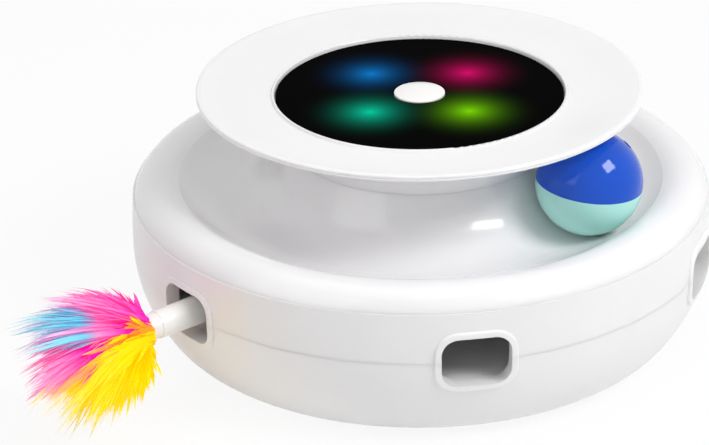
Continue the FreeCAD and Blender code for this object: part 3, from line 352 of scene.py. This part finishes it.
def dyed_barbs(name, stops):
    """Feather barb: dull and thin enough to glow from behind, paler where the dye thins, and with a painted
    glow in its own colour that lightens the tuft's shade.
    """
    material, tree, shader = new_material(
        name + " dyed marabou", Roughness=0.85, IOR=1.54, Specular_IOR_Level=0.2
    )
    reach = add(tree, "ShaderNodeAttribute", attribute_name="reach").outputs["Fac"]
    shade = add(tree, "ShaderNodeAttribute", attribute_name="shade").outputs["Fac"]
    ramp = add(tree, "ShaderNodeValToRGB", {"Fac": reach})
    points = ramp.color_ramp.elements
    while len(points) < len(stops):
        points.new(0.5)
    for point, (at, code) in zip(points, stops):
        point.position = at
        point.color = linear(code)
    lift = add(tree, "ShaderNodeMapRange", {"Value": shade}, To_Min=0.88, To_Max=1.08)
    dyed = {"Color": ramp.outputs["Color"], "Value": lift.outputs["Result"]}
    tone = add(tree, "ShaderNodeHueSaturation", dyed)
    tree.links.new(tone.outputs["Color"], shader.inputs["Base Color"])
    # Painted glow: the dye colour is also the barb's emission, which stands in for light that scatters among
    # the barbs.
    tree.links.new(tone.outputs["Color"], shader.inputs["Emission Color"])
    shader.inputs["Emission Strength"].default_value = PAINTED_GLOW
    glow = add(tree, "ShaderNodeBsdfTranslucent", {"Color": tone.outputs["Color"]})
    both = add(tree, "ShaderNodeMixShader", {1: shader.outputs["BSDF"], 2: glow.outputs["BSDF"]})
    both.inputs[0].default_value = SEE_THROUGH
    tree.links.new(both.outputs["Shader"], tree.nodes["Material Output"].inputs["Surface"])
    return material


def fan_edge(lean):
    """How far the tuft reaches at this lean, in metres."""
    for (low, near), (high, far) in zip(FAN_EDGE, FAN_EDGE[1:]):
        if lean <= high:
            return (near + (far - near) * (lean - low) / (high - low)) / 1000
    return FAN_EDGE[-1][1] / 1000


def wisp_dye(lean, share, dice):
    """The dye of a wisp: bands down the fan, with short orange wisps where yellow meets magenta."""
    if lean < YELLOW_TO:
        return YELLOW
    if share < SHORT_SHARE and lean < SHORT_TO:
        return ORANGE if dice.random() < (0.2 if lean < ORANGE_FROM else 0.5) else YELLOW
    if lean < ORANGE_TO:
        return ORANGE if dice.random() < 0.3 else YELLOW
    if lean < MAGENTA_TO:
        return BLUE if share > 0.75 and lean > STRAY_FROM and dice.random() < 0.8 else MAGENTA
    if BLUE_FROM <= lean < BLUE_TO:
        return BLUE if dice.random() < 0.9 else PINK
    return PINK


def wisp(bm, layers, dice, lean, share, deep):
    """A bundle of barbs that leave the collar together, droop, and end in a point."""
    turn = math.radians(lean)
    reach = fan_edge(lean) * share
    flat = FAN_ACROSS * math.cos(turn) + FAN_RISE * math.sin(turn)
    forward = reach * (BULGE * math.cos(turn + FORWARD_FROM) + THICKNESS * deep)
    tip_mid = COLLAR + flat * reach + FAN_DEPTH * forward
    foot = COLLAR + UPWARD * GRIP_UP * math.sin(turn + FORWARD_FROM) + SIDEWAYS * GRIP_SIDE * deep
    curl = Vector([dice.gauss(0, CURL) for axis in range(3)])
    bend = UPWARD * (DROOP if lean > LOW_LEAN else LOW_DROOP) + curl
    dye = wisp_dye(lean, share, dice)
    tone = dice.random()
    for barb in range(FLUFF + BARBS):
        fluff = barb < FLUFF
        width = FLUFF_WIDTH if fluff else BARB_WIDTH
        cut = dice.uniform(0.55, 1.0) if fluff else dice.uniform(0.6, 1.0)
        loose = LOOSE_TIP + LOOSE_SHORT * (1.02 - cut)
        tip = foot.lerp(tip_mid, cut) + Vector([dice.gauss(0, loose) for axis in range(3)])
        tip.z = max(tip.z, FLOOR_ROOM)
        root = foot + UPWARD * dice.gauss(0, QUILL_SPREAD) + SIDEWAYS * dice.gauss(0, QUILL_SPREAD)
        middle = root.lerp(tip, 0.5) + bend * (tip - root).length
        twist = dice.gauss(0, 0.25 if fluff else 0.5)
        strip = bmesh.ops.create_grid(bm, x_segments=1, y_segments=BARB_STEPS, size=0.5)["verts"]
        for vert in strip:
            along = vert.co.y + 0.5
            side = vert.co.x * 2
            spot = root * (1 - along) ** 2 + middle * (2 * along * (1 - along)) + tip * along ** 2
            run = ((middle - root) * (1 - along) + (tip - middle) * along).normalized()
            away = spot - COLLAR - OUTWARD * 0.6 * (spot - COLLAR).dot(OUTWARD)
            across = Matrix.Rotation(twist, 3, run) @ run.cross(away).normalized()
            vert.co = spot + across * side * width / 2 * (1 - along ** 2) ** 0.5
            vert[layers[0]] = (spot - COLLAR).length / FULL_REACH
            vert[layers[1]] = 0.6 * tone + 0.4 * dice.random() if along == 0 else 0.6 * tone + 0.2
        for vert in strip:
            for face in vert.link_faces:
                face.material_index = dye
                face.smooth = True


def feather_tuft():
    """All the wisps: the long ones first, then the short ones in front that cover the collar."""
    dice = random.Random(11)
    tuft = bmesh.new()
    held = bpy.data.meshes.new("wisp")
    for count in range(WISPS):
        lean = dice.uniform(-94, 46)
        share = dice.uniform(0.8, 1.03) if dice.random() < LONG_SHARE else dice.uniform(0.6, 0.8)
        deep = max(-1.6, min(1.6, dice.gauss(0, 0.8)))
        if count >= WISPS - SHORT_WISPS:
            lean = dice.uniform(-58, 8)
            share = dice.uniform(0.3, 0.56) if lean < -16 else dice.uniform(0.16, 0.3)
            deep = dice.uniform(1.4, 2.3)
        bundle = bmesh.new()
        layers = (bundle.verts.layers.float.new("reach"), bundle.verts.layers.float.new("shade"))
        wisp(bundle, layers, dice, lean, share, deep)
        bundle.to_mesh(held)
        bundle.free()
        tuft.from_mesh(held)
    mesh = bpy.data.meshes.new("feather_tuft")
    for name, stops in DYES:
        mesh.materials.append(dyed_barbs(name, stops))
    tuft.to_mesh(mesh)
    tuft.free()
    bpy.data.meshes.remove(held)
    piece = bpy.data.objects.new("feather_tuft", mesh)
    bpy.context.scene.collection.objects.link(piece)
    return piece


feathers = feather_tuft()
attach(feathers, "wand")
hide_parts("feather_plume")
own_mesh(feathers)

# Studio. A white sweep under the toy, a large soft light high on the right, a weaker one on the
# left, one overhead, and a white room all round, as for a shop photograph.
FLOOR_WHITE = 0.9
FLOOR_HALF = 4.0
TARGET = (0, 0, 0.05)
ROOM_LIGHT = 0.31


def straight_rays(tree):
    """1 for what the camera sees at once, in a reflection, or through glass, and 0 for light."""
    ray = add(tree, "ShaderNodeLightPath")
    straight = ray.outputs["Is Camera Ray"]
    for other in ("Is Glossy Ray", "Is Transmission Ray"):
        either = add(tree, "ShaderNodeMath", {0: straight, 1: ray.outputs[other]}, operation="MAXIMUM")
        straight = either.outputs["Value"]
    return straight


def studio_floor():
    """A paper sweep that looks white straight on and still keeps the toy's shadow."""
    bm = bmesh.new()
    bmesh.ops.create_grid(bm, x_segments=1, y_segments=1, size=FLOOR_HALF)
    mesh = bpy.data.meshes.new("floor")
    bm.to_mesh(mesh)
    bm.free()
    floor = bpy.data.objects.new("floor", mesh)
    bpy.context.scene.collection.objects.link(floor)
    material, tree, shader = new_material("white paper sweep", Base_Color=linear("f4f4f4"), Roughness=0.9)
    paper = add(tree, "ShaderNodeEmission", Color=(1, 1, 1, 1), Strength=1.0)
    share = add(tree, "ShaderNodeMath", {0: straight_rays(tree)}, operation="MULTIPLY")
    share.inputs[1].default_value = FLOOR_WHITE
    parts = {0: share.outputs["Value"], 1: shader.outputs["BSDF"], 2: paper.outputs["Emission"]}
    both = add(tree, "ShaderNodeMixShader", parts)
    tree.links.new(both.outputs["Shader"], tree.nodes["Material Output"].inputs["Surface"])
    mesh.materials.append(material)


def soft_light(name, place, size, power):
    """An area lamp, its sides in metres and its power in watts, turned to the toy."""
    light = bpy.data.lights.new(name, "AREA")
    light.shape = "RECTANGLE"
    light.size, light.size_y = size
    light.energy = power
    lamp = bpy.data.objects.new(name, light)
    lamp.location = place
    lamp.rotation_euler = (Vector(TARGET) - Vector(place)).to_track_quat("-Z", "Y").to_euler()
    bpy.context.scene.collection.objects.link(lamp)


studio_floor()
soft_light("key", (0.62, -0.55, 0.85), (0.44, 0.36), 7.3)
soft_light("fill", (-0.9, -0.5, 0.78), (0.9, 0.9), 3.2)
soft_light("overhead", (-0.1, 0.1, 1.4), (1.2, 1.2), 4.8)

room = bpy.data.worlds.new("white room")
bpy.context.scene.world = room
room.use_nodes = True
walls = room.node_tree.nodes["Background"]
walls.inputs["Color"].default_value = (1, 1, 1, 1)
bare = {"Value": straight_rays(room.node_tree)}
wall_light = add(room.node_tree, "ShaderNodeMapRange", bare, To_Min=ROOM_LIGHT, To_Max=1.0)
room.node_tree.links.new(wall_light.outputs["Result"], walls.inputs["Strength"])

# Camera. A long lens a metre away, about 25 degrees above the floor and 10 to the left of the
# front window. Its aim is the pixel at which the point it turns round shows.
BEARING = math.radians(-9.95)
HEIGHT = math.radians(24.58)
ROLL = math.radians(-0.52)
DISTANCE = 1.014
LOOK = Vector((0, 0, 0.0658))
FOCUS_PX = 2557.0
AIM_PX = (420.1, 163.1)
FRAME_PX = (709, 445)
SENSOR_MM = 36.0

out = math.cos(HEIGHT)
back = Vector((math.sin(BEARING) * out, -math.cos(BEARING) * out, math.sin(HEIGHT)))
level = Vector((math.cos(BEARING), math.sin(BEARING), 0))
rise = back.cross(level)
right = level * math.cos(ROLL) + rise * math.sin(ROLL)
up = rise * math.cos(ROLL) - level * math.sin(ROLL)
off_right, off_down = ((whole / 2 - aim) / FOCUS_PX for whole, aim in zip(FRAME_PX, AIM_PX))
ahead = (-back + right * off_right - up * off_down).normalized()
right = (right - ahead * right.dot(ahead)).normalized()
up = right.cross(ahead)
view = bpy.data.cameras.new("camera")
view.sensor_width = SENSOR_MM
view.lens = FOCUS_PX / FRAME_PX[0] * SENSOR_MM
view.clip_end = 20.0
camera = bpy.data.objects.new("camera", view)
place = LOOK + back * DISTANCE
camera.matrix_world = Matrix((
    (right.x, up.x, -ahead.x, place.x),
    (right.y, up.y, -ahead.y, place.y),
    (right.z, up.z, -ahead.z, place.z),
    (0, 0, 0, 1),
))
bpy.context.scene.collection.objects.link(camera)
bpy.context.scene.camera = camera
bpy.context.scene.view_settings.view_transform = "Standard"
